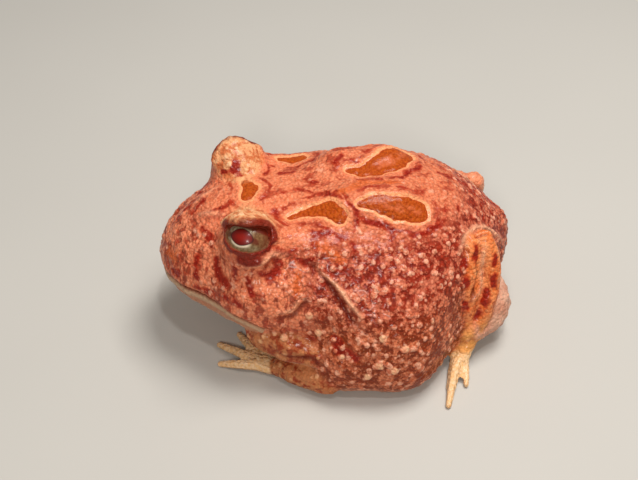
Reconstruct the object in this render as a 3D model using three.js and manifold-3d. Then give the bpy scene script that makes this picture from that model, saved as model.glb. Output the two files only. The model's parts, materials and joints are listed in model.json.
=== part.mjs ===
// A young Argentine horned frog sitting at rest, as a still, life-size model.
// Millimetres. The frog faces -Y, its left side is +X and +Z is up. The origin is on the floor under its belly.
// The head and trunk are one smooth skin drawn round a few blended ellipsoids, then parted by thin cuts.
// The limbs are tubes of changing thickness that follow the bones.
import * as THREE from "three";
import { mergeVertices } from "three/addons/utils/BufferGeometryUtils.js";
import Module from "manifold-3d";

// Driving dimensions
const seam = 0.3;
const headCell = 1.08;
const trunkCell = 1.7;
const clearanceCell = 2.2;
const eyeRadius = 3.2;
const eyeCentre = [8.4, -14.5, 20.6];
const gazeForward = 33;
const gazeUp = 47;
const ledgeHeight = 1.9;
const mouthSheetWidth = 50;

const wasm = await Module();
wasm.setup();

const V = (x, y, z) => new THREE.Vector3(x, y, z);

// Distance fields: each returns a function of x, y, z that is negative inside.
function ellipsoid([cx, cy, cz], [rx, ry, rz]) {
  return (x, y, z) => {
    const [ax, ay, az] = [(x - cx) / rx, (y - cy) / ry, (z - cz) / rz];
    const near = Math.hypot(ax, ay, az);
    const slope = Math.hypot(ax / rx, ay / ry, az / rz);
    return slope < 1e-9 ? -Math.min(rx, ry, rz) : (near * (near - 1)) / slope;
  };
}

// A tapered round bar from a to b.
function taper(a, b, ra, rb) {
  const [ax, ay, az] = a;
  const [dx, dy, dz] = [b[0] - ax, b[1] - ay, b[2] - az];
  const lengthSquared = dx * dx + dy * dy + dz * dz;
  return (x, y, z) => {
    const along = ((x - ax) * dx + (y - ay) * dy + (z - az) * dz) / lengthSquared;
    const t = Math.min(1, Math.max(0, along));
    return Math.hypot(x - ax - t * dx, y - ay - t * dy, z - az - t * dz) - ra - t * (rb - ra);
  };
}

const mirrored = (field) => (x, y, z) => field(Math.abs(x), y, z);

function blend(first, ...rest) {
  return (x, y, z) => {
    let d = first(x, y, z);
    for (const [field, soft] of rest) {
      const e = field(x, y, z);
      const h = Math.max(soft - Math.abs(d - e), 0) / soft;
      d = Math.min(d, e) - (h * h * soft) / 4;
    }
    return d;
  };
}

// The surface where a field is zero, as quads round a grid's crossings with their corners drawn onto it.
function skinOf(field, low, high, cell) {
  const [nx, ny, nz] = low.map((v, i) => Math.ceil((high[i] - v) / cell) + 1);
  const at = (i, j, k) => (k * ny + j) * nx + i;
  const values = new Float64Array(nx * ny * nz);
  for (let k = 0; k < nz; k++)
    for (let j = 0; j < ny; j++)
      for (let i = 0; i < nx; i++)
        values[at(i, j, k)] = field(low[0] + i * cell, low[1] + j * cell, low[2] + k * cell);
  const positions = [];
  const cornerOf = new Int32Array(values.length).fill(-1);
  const corners = [0, 1, 2, 3, 4, 5, 6, 7].map((n) => [n & 1, (n >> 1) & 1, n >> 2]);
  const edges = [];
  corners.forEach((a, m) =>
    corners.forEach((b, n) => {
      if (n > m && Math.abs(a[0] - b[0]) + Math.abs(a[1] - b[1]) + Math.abs(a[2] - b[2]) === 1)
        edges.push([a, b]);
    }),
  );
  for (let k = 0; k < nz - 1; k++)
    for (let j = 0; j < ny - 1; j++)
      for (let i = 0; i < nx - 1; i++) {
        const sum = [0, 0, 0];
        let crossings = 0;
        for (const [a, b] of edges) {
          const va = values[at(i + a[0], j + a[1], k + a[2])];
          const vb = values[at(i + b[0], j + b[1], k + b[2])];
          if (va < 0 === vb < 0) continue;
          const t = va / (va - vb);
          for (let c = 0; c < 3; c++) sum[c] += a[c] + t * (b[c] - a[c]);
          crossings++;
        }
        if (!crossings) continue;
        const start = [i, j, k].map((v, c) => low[c] + cell * (v + sum[c] / crossings));
        cornerOf[at(i, j, k)] = positions.length;
        positions.push(drawnOnto(field, start, cell));
      }
  const index = [];
  const quad = (a, b, c, d, flip) => {
    const [p, q, r, s] = [a, b, c, d].map((n) => cornerOf[n]);
    const short = positions[p].distanceTo(positions[r]) < positions[q].distanceTo(positions[s]);
    const faces = short ? [[p, q, r], [p, r, s]] : [[p, q, s], [q, r, s]];
    for (const [u, v, w] of faces) index.push(...(flip ? [u, w, v] : [u, v, w]));
  };
  for (let k = 1; k < nz - 1; k++)
    for (let j = 1; j < ny - 1; j++)
      for (let i = 1; i < nx - 1; i++) {
        const inside = values[at(i, j, k)] < 0;
        if (values[at(i + 1, j, k)] < 0 !== inside)
          quad(at(i, j - 1, k - 1), at(i, j, k - 1), at(i, j, k), at(i, j - 1, k), !inside);
        if (values[at(i, j + 1, k)] < 0 !== inside)
          quad(at(i - 1, j, k - 1), at(i - 1, j, k), at(i, j, k), at(i, j, k - 1), !inside);
        if (values[at(i, j, k + 1)] < 0 !== inside)
          quad(at(i - 1, j - 1, k), at(i, j - 1, k), at(i, j, k), at(i - 1, j, k), !inside);
      }
  const geometry = new THREE.BufferGeometry().setFromPoints(positions);
  geometry.setIndex(index);
  return geometry;
}

function drawnOnto(field, [x, y, z], cell) {
  const p = V(x, y, z);
  const step = cell * 0.05;
  for (let n = 0; n < 3; n++) {
    const d = field(p.x, p.y, p.z);
    const slope = V(
      field(p.x + step, p.y, p.z) - field(p.x - step, p.y, p.z),
      field(p.x, p.y + step, p.z) - field(p.x, p.y - step, p.z),
      field(p.x, p.y, p.z + step) - field(p.x, p.y, p.z - step),
    ).divideScalar(2 * step);
    const most = 0.3 * cell;
    p.addScaledVector(slope, -THREE.MathUtils.clamp(d / Math.max(slope.lengthSq(), 0.05), -most, most));
  }
  return p;
}

// three.js geometry to a solid and back.
function solid(geometry) {
  const bare = new THREE.BufferGeometry().setAttribute("position", geometry.getAttribute("position"));
  if (geometry.index) bare.setIndex(geometry.index);
  const merged = mergeVertices(bare, 1e-4);
  const vertProperties = new Float32Array(merged.attributes.position.array);
  const triVerts = new Uint32Array(merged.index.array);
  return new wasm.Manifold(new wasm.Mesh({ numProp: 3, vertProperties, triVerts }));
}

function geometryOf(body) {
  const { vertProperties, triVerts } = body.getMesh();
  const geometry = new THREE.BufferGeometry();
  geometry.setAttribute("position", new THREE.BufferAttribute(new Float32Array(vertProperties), 3));
  geometry.setIndex(new THREE.BufferAttribute(new Uint32Array(triVerts), 1));
  return geometry;
}

const joined = (solids) => solids.reduce((a, b) => a.add(b));
const largest = (body) => body.decompose().reduce((a, b) => (b.volume() > a.volume() ? b : a));

// A tube through points [x, y, z, radius], with rounded ends. flat squeezes its section upright.
function limb(points, { sides = 10, steps = 4, grow = 0, flat = 1 } = {}) {
  const up = V(0, 0, 1);
  const curve = new THREE.CatmullRomCurve3(points.map(([x, y, z]) => V(x, y, z)), false, "centripetal");
  const rings = (points.length - 1) * steps;
  const radii = points.map((p) => p[3] + grow);
  const sections = [];
  const radiusAt = (t) => {
    const s = t * (points.length - 1);
    const n = Math.min(Math.floor(s), points.length - 2);
    return THREE.MathUtils.lerp(radii[n], radii[n + 1], THREE.MathUtils.smoothstep(s - n, 0, 1));
  };
  const roundings = [-90, -60, -28];
  const section = (centre, along, radius) => {
    const side = new THREE.Vector3().crossVectors(along, up).normalize();
    const lift = new THREE.Vector3().crossVectors(side, along).normalize();
    return Array.from({ length: sides }, (_, n) => {
      const a = (2 * Math.PI * n) / sides;
      return centre
        .clone()
        .addScaledVector(side, radius * Math.cos(a))
        .addScaledVector(lift, radius * flat * Math.sin(a));
    });
  };
  const end = (t, sign) => {
    const along = curve.getTangent(t);
    const radius = radiusAt(t);
    return roundings.map((degrees) => {
      const a = THREE.MathUtils.degToRad(degrees);
      const centre = curve.getPoint(t).addScaledVector(along, sign * radius * Math.sin(a));
      return { centre, ring: section(centre, along, Math.max(radius * Math.cos(a), 0)) };
    });
  };
  const head = end(0, 1);
  const tail = end(1, -1).reverse();
  sections.push(...head.slice(1).map((s) => s.ring));
  for (let n = 0; n <= rings; n++) {
    const t = n / rings;
    sections.push(section(curve.getPoint(t), curve.getTangent(t), radiusAt(t)));
  }
  sections.push(...tail.slice(0, -1).map((s) => s.ring));
  const positions = sections.flat();
  const first = positions.push(head[0].centre) - 1;
  const last = positions.push(tail[tail.length - 1].centre) - 1;
  const index = [];
  for (let r = 0; r + 1 < sections.length; r++)
    for (let n = 0; n < sides; n++) {
      const m = (n + 1) % sides;
      const [a, b, c, d] = [r * sides + n, r * sides + m, (r + 1) * sides + m, (r + 1) * sides + n];
      index.push(a, c, b, a, d, c);
    }
  const back = (sections.length - 1) * sides;
  for (let n = 0; n < sides; n++) {
    const m = (n + 1) % sides;
    index.push(first, n, m, last, back + m, back + n);
  }
  const geometry = new THREE.BufferGeometry().setFromPoints(positions);
  geometry.setIndex(index);
  const made = solid(geometry);
  return made.volume() < 0 ? solid(flipped(geometry)) : made;
}

function flipped(geometry) {
  const turned = geometry.clone();
  const order = turned.index.array;
  for (let n = 0; n < order.length; n += 3) [order[n + 1], order[n + 2]] = [order[n + 2], order[n + 1]];
  return turned;
}

// A box from low to high, as a cutter.
function block(low, high) {
  const size = high.map((v, i) => v - low[i]);
  const geometry = new THREE.BoxGeometry(...size);
  geometry.translate(...low.map((v, i) => v + size[i] / 2));
  return solid(geometry);
}

const above = block([-60, -60, 0], [60, 60, 60]);

// Head and trunk
const belly = ellipsoid([0, 3, 8.6], [20.2, 14.2, 12.2]);
const back = ellipsoid([0, 6.8, 12.2], [13.4, 13.4, 11.2]);
const rump = ellipsoid([0, 15.4, 10.4], [8, 8.1, 7.1]);
const shoulders = ellipsoid([0, -4.5, 12.2], [14.2, 10, 9.9]);
const flank = mirrored(taper([15.4, -2.4, 4.5], [15.4, 4.6, 4.5], 5, 5.1));
const saddle = mirrored(taper([4.4, 0.2, 21.3], [4.6, 5.4, 21.3], 3, 3));
const groin = mirrored(taper([15.4, 4.6, 4.5], [11.4, 10.4, 4.6], 5.1, 4.4));
const vent = taper([0, 15, 15.3], [0, 21.6, 13], 2.6, 1.9);
const sides = blend(flank, [groin, 3]);
const trunk = blend(belly, [back, 4], [saddle, 2.5], [rump, 3.5], [shoulders, 5], [sides, 3], [vent, 1.5]);

const skull = ellipsoid([0, -13.3, 14.5], [9.8, 10.2, 8]);
const jaws = ellipsoid([0, -10.5, 10.6], [14.4, 11, 7.2]);
const muzzle = ellipsoid([0, -17.6, 12.7], [9.2, 8.8, 6.3]);
const lids = mirrored(ellipsoid([8.35, -14.45, 20.3], [4.35, 3.9, 4.25]));
const horns = mirrored(taper([7.6, -16.1, 23.3], [8.6, -15.8, 23.7], 1.1, 1));
const frontLedge = taper([6.9, -17.6, 22.8], [9.2, -14.7, 23.9], 0.65, 0.6);
const rearLedge = taper([9.2, -14.7, 23.9], [8.7, -11.4, 22.8], 0.6, 0.6);
const ledges = mirrored(blend(frontLedge, [rearLedge, 0.5]));
const brows = mirrored(taper([6, -17.8, 18.3], [3.4, -22.7, 15.6], 1.2, 1));
const nape = mirrored(taper([8.2, -10.8, 19.6], [8.8, -3.5, 18], 2.2, 2.4));
const cheeks = mirrored(ellipsoid([9.8, -12.5, 13.4], [5, 6.5, 4.6]));
const plainHead = blend(skull, [jaws, 4], [muzzle, 3.5], [cheeks, 3]);
const plainBody = blend(trunk, [plainHead, 4], [nape, 2.5]);
const frogField = blend(plainBody, [lids, 1.7], [horns, 1.6], [ledges, 0.9], [brows, 1.4]);

const low = [-26, -32, -9];
const high = [26, 29, 31];
const whole = (field, cell, grow = 0) =>
  solid(skinOf((x, y, z) => field(x, y, z) - grow, low, high, cell)).intersect(above);

const fine = whole(frogField, headCell);
const coarse = whole(plainBody, trunkCell);
const grown = whole(plainBody, clearanceCell, seam);

// The neck is a flat cut, and the mouth is a bent sheet that dips towards its corner.
const neckY = -7.4;
const headSide = block([-40, -40, -1], [40, neckY - seam / 2, 60]);
const trunkSide = block([-40, neckY + seam / 2, -1], [40, 40, 60]);

const mouthLine = [
  [-32, 12],
  [-26, 12],
  [-21, 12.4],
  [-16.5, 11.5],
  [-13.3, 9.8],
  [-11.7, 7],
  [-11.3, -3],
];

// A sheet as thick as the seam along the mouth line, as wide as the head.
function mouthSheet() {
  const line = new THREE.SplineCurve(mouthLine.map(([y, z]) => new THREE.Vector2(y, z))).getPoints(12);
  const normals = line.map((p, n) => {
    const before = line[Math.max(n - 1, 0)];
    const after = line[Math.min(n + 1, line.length - 1)];
    return new THREE.Vector2(before.y - after.y, after.x - before.x).normalize();
  });
  const upper = line.map((p, n) => p.clone().addScaledVector(normals[n], seam / 2));
  const lower = line.map((p, n) => p.clone().addScaledVector(normals[n], -seam / 2)).reverse();
  const section = new THREE.Shape([...upper, ...lower]);
  const sheet = new THREE.ExtrudeGeometry(section, { depth: mouthSheetWidth, bevelEnabled: false });
  // The drawing's x is the frog's y and its y is up, so the sheet's depth runs across the frog.
  const across = new THREE.Matrix4().makeBasis(V(0, 1, 0), V(0, 0, 1), V(1, 0, 0));
  sheet.applyMatrix4(across);
  sheet.translate(-mouthSheetWidth / 2, 0, 0);
  return solid(sheet);
}

function aimed(forward, up) {
  const [a, b] = [THREE.MathUtils.degToRad(forward), THREE.MathUtils.degToRad(up)];
  return V(Math.cos(a) * Math.cos(b), -Math.sin(a) * Math.cos(b), Math.sin(b));
}

// An ellipsoid or ball as a closed mesh, its first radius along a direction and rolled about that.
// It is cut flat at top, so that an opening made with it has a level ledge.
function ball(centre, radii, turn = {}, { columns = 20, rows = 12 } = {}) {
  const { along = V(1, 0, 0), roll = 0, top = Infinity } = turn;
  const geometry = new THREE.SphereGeometry(1, columns, rows);
  geometry.rotateX(Math.PI / 2);
  geometry.scale(...radii);
  geometry.rotateX(THREE.MathUtils.degToRad(roll));
  const points = geometry.getAttribute("position");
  for (let n = 0; n < points.count; n++) points.setZ(n, Math.min(points.getZ(n), top));
  const side = new THREE.Vector3().crossVectors(V(0, 0, 1), along).normalize();
  const lift = new THREE.Vector3().crossVectors(along, side);
  geometry.applyMatrix4(new THREE.Matrix4().makeBasis(along, side, lift));
  geometry.translate(centre.x, centre.y, centre.z);
  return solid(geometry);
}

const onSide = (body, side) => (side > 0 ? body : body.mirror([1, 0, 0]));

const eye = V(...eyeCentre);
const eyeball = ball(eye, Array(3).fill(eyeRadius), { along: aimed(gazeForward, gazeUp) });
const socket = ball(eye, Array(3).fill(eyeRadius + seam));
const lidGaze = aimed(14, 44);
const lidLift = V(0, 0, 1).addScaledVector(lidGaze, -lidGaze.z).normalize();
const openingRise = 0.95;
const openingCentre = eye.clone().addScaledVector(lidGaze, 3.1).addScaledVector(lidLift, openingRise);
const underLedge = { along: lidGaze, roll: -8, top: ledgeHeight - openingRise };
const opening = ball(openingCentre, [2.3, 3.5, 2.8], underLedge);
const nostril = ball(V(3, -23.9, 17.4), [1.3, 0.55, 0.5], { along: aimed(62, 30) }, { columns: 12, rows: 8 });

const openings = [1, -1].flatMap((side) => [socket, opening, nostril].map((body) => onSide(body, side)));
const headWhole = largest(fine.intersect(headSide)).subtract(joined(openings));
const [upperHead, lowerJaw] = headWhole
  .subtract(mouthSheet())
  .decompose()
  .sort((a, b) => b.volume() - a.volume());
const torso = largest(coarse.intersect(trunkSide));

// Limbs of the left side
const armPaths = {
  upper_arm: [[11.2, -13, 7.2, 3.1], [14, -10.2, 6.8, 2.9], [16.4, -6.8, 6.2, 1.9]],
  forearm: [[17.6, -5.2, 2.3, 2.1], [15.6, -8.6, 1.9, 1.9], [13.4, -11.4, 1.4, 1.5]],
};
const palm = [[13.2, -11.8, 1.2, 1.5], [11.6, -14.2, 1.0, 1.5]];
const fingers = [
  [[12.4, -13, 0.9, 0.95], [11.9, -16.4, 1.1, 0.75], [10.6, -19.6, 0.4, 0.5]],
  [[11.4, -14.2, 0.9, 0.95], [9.4, -17, 1.1, 0.7], [6.8, -19.4, 0.4, 0.5]],
  [[10.8, -14, 0.9, 0.9], [8, -15.4, 1.0, 0.7], [5.2, -16.4, 0.4, 0.5]],
  [[10.8, -13, 0.9, 0.9], [8.4, -12.8, 1.0, 0.7], [6, -12.2, 0.4, 0.5]],
];
const legPaths = {
  thigh: [[4.5, 16.8, 6.6, 4.2], [8.6, 18.7, 5.2, 3.9], [12, 15.4, 4.4, 3]],
  shank: [[13, 14.5, 4.4, 1.4], [12, 14.8, 8.6, 1.7], [11, 14.9, 12.6, 1.7], [8.7, 15.6, 16.6, 1.5]],
};
const tarsus = [
  [8.1, 17.7, 16.3, 1.6],
  [9.6, 18.6, 13.2, 1.5],
  [11.2, 18.2, 9.8, 1.5],
  [12.4, 17.2, 6.8, 1.4],
  [13.2, 15.9, 4, 1.3],
  [14.6, 14.5, 2.2, 1.2],
  [15.8, 13.9, 1.4, 1],
];
const toes = [
  [[15.6, 13.5, 1.4, 0.85], [18.8, 12, 1, 0.75], [23, 10.4, 0.4, 0.45]],
  [[14.8, 14.5, 1.4, 0.7], [17.3, 14.2, 0.9, 0.5], [19.6, 13.7, 0.4, 0.4]],
  [[15.2, 13.3, 1.3, 0.8], [17.8, 12, 0.8, 0.5], [20, 11.1, 0.4, 0.4]],
  [[14.8, 13.2, 1.3, 0.7], [16.4, 12.4, 0.8, 0.5], [18, 11.7, 0.4, 0.4]],
  [[14.4, 13.5, 1.2, 0.7], [15.3, 12.9, 0.8, 0.5], [16.4, 12.3, 0.4, 0.4]],
];

const digits = (paths, grow) => paths.map((path) => limb(path, { sides: 6, steps: 2, grow }));
const hand = (grow) => joined([limb(palm, { sides: 10, steps: 2, grow, flat: 0.7 }), ...digits(fingers, grow)]);
const foot = (grow) => joined([limb(tarsus, { steps: 1, grow }), ...digits(toes, grow)]);
const bones = {
  foot,
  shank: (grow) => limb(legPaths.shank, { grow, sides: 8, steps: 2 }),
  thigh: (grow) => limb(legPaths.thigh, { grow, steps: 4 }),
  upper_arm: (grow) => limb(armPaths.upper_arm, { grow, sides: 12, steps: 3 }),
  forearm: (grow) => limb(armPaths.forearm, { grow, steps: 3 }),
  hand,
};

// The right hind leg lies a little further back and lower than the left one.
const legs = ["foot", "shank", "thigh"];
const farLegBack = 2.7;
const farLegHeight = 0.88;

const colours = {
  torso: 0xd25a45,
  head: 0xd4624a,
  lower_jaw: 0xd9c2a0,
  eye: 0x85735a,
  foot: 0xe39a4a,
  shank: 0xd9803f,
  thigh: 0xdd9c86,
  upper_arm: 0xd07a52,
  forearm: 0xc9654a,
  hand: 0xdfae84,
};
const dullness = { eye: 0.12 };

const group = new THREE.Group();
function node(part, side, body) {
  const look = { color: colours[part], roughness: dullness[part] ?? 0.45, metalness: 0 };
  const mesh = new THREE.Mesh(geometryOf(body), new THREE.MeshStandardMaterial(look));
  mesh.name = side ? part + "_" + side : part;
  group.add(mesh);
}

node("torso", "", torso);
node("head", "", upperHead);
node("lower_jaw", "", lowerJaw);
for (const [side, sign] of [["left", 1], ["right", -1]]) {
  node("eye", side, onSide(eyeball, sign));
  const taken = [grown];
  for (const [part, build] of Object.entries(bones)) {
    const far = sign < 0 && legs.includes(part);
    const [shift, height] = far ? [farLegBack, farLegHeight] : [0, 1];
    const placed = (grow) => onSide(build(grow), sign).scale([1, 1, height]).translate([0, shift, 0]);
    node(part, side, largest(placed(0).intersect(above).subtract(joined(taken))));
    taken.push(placed(seam));
  }
}

export default group;
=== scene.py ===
import json
import math

import bpy
import numpy as np
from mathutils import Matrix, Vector, noise
from mathutils.bvhtree import BVHTree
from mathutils.kdtree import KDTree

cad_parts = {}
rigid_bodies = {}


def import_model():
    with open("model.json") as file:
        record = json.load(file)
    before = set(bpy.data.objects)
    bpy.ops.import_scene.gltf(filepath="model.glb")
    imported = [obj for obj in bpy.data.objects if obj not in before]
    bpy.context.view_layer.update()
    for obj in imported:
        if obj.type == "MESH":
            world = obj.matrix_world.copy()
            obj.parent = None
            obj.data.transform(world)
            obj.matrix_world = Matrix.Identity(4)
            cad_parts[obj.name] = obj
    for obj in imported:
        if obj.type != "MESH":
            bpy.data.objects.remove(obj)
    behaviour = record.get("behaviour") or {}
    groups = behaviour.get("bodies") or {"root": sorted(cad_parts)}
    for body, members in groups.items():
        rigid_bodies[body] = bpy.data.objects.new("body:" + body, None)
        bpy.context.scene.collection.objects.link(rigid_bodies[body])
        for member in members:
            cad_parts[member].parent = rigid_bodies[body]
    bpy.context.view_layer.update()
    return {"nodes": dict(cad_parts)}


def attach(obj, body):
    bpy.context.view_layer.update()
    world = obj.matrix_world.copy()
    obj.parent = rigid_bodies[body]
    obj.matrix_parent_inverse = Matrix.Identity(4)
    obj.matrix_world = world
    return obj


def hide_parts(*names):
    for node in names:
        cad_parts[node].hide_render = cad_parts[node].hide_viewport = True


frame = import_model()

mm = 0.001
farOff = 9.0  # stands for any distance that no longer matters
sides = {"left": 1, "right": -1}
limbParts = ["upper_arm", "forearm", "hand", "thigh", "shank", "foot"]
trunkNodes = ["torso", "head", "lower_jaw"]
fleshNodes = trunkNodes + [part + "_" + side for side in sides for part in limbParts]
eyeNodes = ["eye_" + side for side in sides]


def deselectAll():
    if bpy.context.object and bpy.context.object.mode != "OBJECT":
        bpy.ops.object.mode_set(mode="OBJECT")
    bpy.ops.object.select_all(action="DESELECT")


def pick(*objects):
    deselectAll()
    for item in objects:
        item.select_set(True)
    bpy.context.view_layer.objects.active = objects[0]


def applyModifier(item, kind, **settings):
    pick(item)
    modifier = item.modifiers.new(kind.title(), kind)
    for key, value in settings.items():
        setattr(modifier, key, value)
    bpy.ops.object.modifier_apply(modifier=modifier.name)


# Shader maths: a Wire is a socket that adds its own Math nodes
class Wire:
    def __init__(self, finish, socket):
        self.finish = finish
        self.socket = socket

    def maths(self, operation, first, second=None):
        inputs = {0: first} if second is None else {0: first, 1: second}
        return self.finish.node("ShaderNodeMath", {"operation": operation}, inputs)

    def __add__(self, other):
        return self.maths("ADD", self, other)

    def __sub__(self, other):
        return self.maths("SUBTRACT", self, other)

    def __rsub__(self, other):
        return self.maths("SUBTRACT", other, self)

    def __mul__(self, other):
        return self.maths("MULTIPLY", self, other)

    def __truediv__(self, other):
        return self.maths("DIVIDE", self, other)

    def __pow__(self, other):
        return self.maths("POWER", self, other)

    def __abs__(self):
        return self.maths("ABSOLUTE", self)

    __radd__ = __add__

    def most(self, other):
        return self.maths("MAXIMUM", self, other)

    def step(self, low, high):  # 0 before low, 1 past high, smooth between, either way round
        ends = {"From Min": low, "From Max": high}
        if low > high:
            ends = {"From Min": high, "From Max": low, "To Min": 1.0, "To Max": 0.0}
        settings = {"interpolation_type": "SMOOTHSTEP"}
        return self.finish.node("ShaderNodeMapRange", settings, {"Value": self, **ends})


class Finish:
    def __init__(self, name):
        self.material = bpy.data.materials.new(name)
        self.material.use_nodes = True
        self.tree = self.material.node_tree
        self.tree.nodes.clear()
        self.place = self.node("ShaderNodeTexCoord", output="Object")

    def node(self, kind, settings=None, inputs=None, output=0):
        made = self.tree.nodes.new(kind)
        for key, value in (settings or {}).items():
            setattr(made, key, value)
        for key, value in (inputs or {}).items():
            if isinstance(value, Wire):
                self.tree.links.new(value.socket, made.inputs[key])
            else:
                made.inputs[key].default_value = value
        return Wire(self, made.outputs[output]) if len(made.outputs) else None

    def attribute(self, name):
        return self.node("ShaderNodeAttribute", {"attribute_name": name}, output="Fac")

    def mix(self, factor, first, second):
        return self.node("ShaderNodeMix", {"data_type": "RGBA"}, {0: factor, 6: first, 7: second}, 2)

    def vector(self, operation, first, second):
        return self.node("ShaderNodeVectorMath", {"operation": operation}, {0: first, 1: second})

    def noise(self, perMm, detail=2.0, roughness=0.5, where=None, output=0):
        place = where or self.place
        inputs = {"Vector": place, "Scale": perMm / mm, "Detail": detail, "Roughness": roughness}
        return self.node("ShaderNodeTexNoise", None, inputs, output)

    def cells(self, perMm):
        inputs = {"Vector": self.place, "Scale": perMm / mm}
        return self.node("ShaderNodeTexVoronoi", None, inputs, "Distance")

    def bent(self, perMm, reach):  # Object coordinates, pushed about so that patterns wander
        push = self.vector("SUBTRACT", self.noise(perMm, output="Color"), (0.5, 0.5, 0.5))
        push = self.vector("MULTIPLY", push, (reach * mm,) * 3)
        return self.vector("ADD", self.place, push)

    def bump(self, height, distance, strength, under=None):
        inputs = {"Height": height, "Distance": distance * mm, "Strength": strength}
        if under:
            inputs["Normal"] = under
        return self.node("ShaderNodeBump", None, inputs)

    def surface(self, **sockets):
        inputs = {key.replace("_", " "): value for key, value in sockets.items()}
        shader = self.node("ShaderNodeBsdfPrincipled", None, inputs)
        self.node("ShaderNodeOutputMaterial", None, {"Surface": shader})
        return self.material


def paint(red, green, blue):  # 0 to 255 as on screen, to the linear colour that nodes take
    def linear(value):
        value /= 255
        return value / 12.92 if value <= 0.04045 else ((value + 0.055) / 1.055) ** 2.4
    return (linear(red), linear(green), linear(blue), 1.0)


# Numbers per vertex
def corners(mesh):
    flat = np.empty(len(mesh.vertices) * 3)
    mesh.vertices.foreach_get("co", flat)
    return flat.reshape(-1, 3) / mm


def normals(mesh):
    flat = np.empty(len(mesh.vertices) * 3, dtype=np.float32)
    mesh.vertex_normals.foreach_get("vector", flat)
    return flat.reshape(-1, 3).astype(float)


def setCorners(mesh, places):
    mesh.vertices.foreach_set("co", (places * mm).ravel())
    mesh.update()


def setAttribute(mesh, name, values):
    layer = mesh.attributes.new(name, "FLOAT", "POINT")
    layer.data.foreach_set("value", np.asarray(values, dtype=np.float32))


def edgesOf(mesh):
    flat = np.empty(len(mesh.edges) * 2, dtype=np.int32)
    mesh.edges.foreach_get("vertices", flat)
    return flat.reshape(-1, 2)


def spread(values, edges, rounds, shares=(0.5,)):  # blurs numbers or places over the mesh
    first, second = edges.T
    count = len(values)
    degree = np.bincount(first, minlength=count) + np.bincount(second, minlength=count)
    columns = values.reshape(count, -1).copy()
    for share in list(shares) * rounds:
        for n in range(columns.shape[1]):
            column = columns[:, n]
            total = np.bincount(first, column[second], count) + np.bincount(second, column[first], count)
            columns[:, n] = column + share * (total / degree - column)
    return columns.reshape(values.shape)


def smooth(values, low, high):
    t = np.clip((values - low) / (high - low), 0, 1)
    return t * t * (3 - 2 * t)


def hump(values, centre, width):  # a rounded rise that is 1 at the centre
    return np.exp(-(((values - centre) / width) ** 2))


def near(places, centre, radii):  # 1 at a centre, 0 outside an ellipsoid of those radii
    away = np.linalg.norm((places - np.array(centre)) / np.array(radii), axis=1)
    return 1 - smooth(away, 0.0, 1.0)


def alongPath(places, path):
    # distance to a chain of tapered bars [..., radius], less their radius, and the share of the way along
    best = np.full(len(places), 1e9)
    share = np.zeros(len(places))
    dimensions = len(path[0]) - 1
    for n, (start, end) in enumerate(zip(path, path[1:])):
        a, b = np.array(start[:-1], float), np.array(end[:-1], float)
        t = np.clip((places[:, :dimensions] - a) @ (b - a) / ((b - a) @ (b - a)), 0, 1)
        away = np.linalg.norm(places[:, :dimensions] - a - t[:, None] * (b - a), axis=1)
        away -= start[-1] + t * (end[-1] - start[-1])
        share = np.where(away < best, (n + t) / (len(path) - 1), share)
        best = np.minimum(best, away)
    return best, share


def ontoSkin(places, paths):  # the paths with each point moved to the nearest vertex
    tree = KDTree(len(places))
    for n, place in enumerate(places):
        tree.insert(place, n)
    tree.balance()
    return [[(*tree.find(point[:3])[0], *point[3:]) for point in path] for path in paths]


def nearestPath(places, paths):
    return np.min([alongPath(places, path)[0] for path in paths], axis=0)


def noiseAt(places, size, seed=0.0, octaves=2):
    shift = Vector((seed, seed * 1.7, -seed * 0.6))
    return np.array([noise.fractal(Vector(place) / size + shift, 0.9, 2.0, octaves) for place in places])


def beadsAt(places, size, keep, radii, seed=0.0):
    # rounded beads of random radius (shares of size), in that share of the cells
    shift = Vector((seed, -seed, seed * 0.7))
    heights = np.zeros(len(places))
    for n, place in enumerate(places):
        distances, centres = noise.voronoi(Vector(place) / size + shift)
        chance = (math.sin(centres[0].x * 91.7 + centres[0].y * 37.3 + centres[0].z * 17.9) + 1) / 2
        if chance < keep:
            reach = radii[0] + (radii[1] - radii[0]) * chance / keep
            heights[n] = max(0.0, 1 - (distances[0] / reach) ** 2) * (0.5 + 0.5 * chance / keep)
    return heights


# The skin, in one piece over all the flesh
skinPiece = {
    "grow": 0.17,  # closes the cuts between the solids, in mm
    "voxel": 0.21,
    "easing": 24,  # rounds that ease the solids' facets
    "digitEasing": 5,
    "triangles": 196000,
    "eye": (8.4, -14.5, 20.6),
    "eyeRadius": 3.2,
    "eyeForward": 33,
    "eyeUp": 47,
    "eyeDepth": 0.6,  # how far the skin dips behind the eye's surface
    "ledgeRise": 0.25,
    "nostril": (3.2, -23.8, 17.8),
    "nostrilDepth": 0.4,
    "mouthDepth": 0.45,
    "lipRise": 0.14,
    "granule": 0.95,  # size of the cells that hold one granule each
    "granuleHeight": 0.27,
    "wart": 2.4,
    "wartHeight": 0.34,
    "singleWart": 0.62,
    "swell": 0.15,  # broad and fine unevenness
    "ripple": 0.05,
    "patchGroove": 0.12,
    "patchBorder": 0.1,
    "patchWander": 0.25,  # how far noise pushes the edges of patches and marks
    "markWander": 0.45,
}

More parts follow.
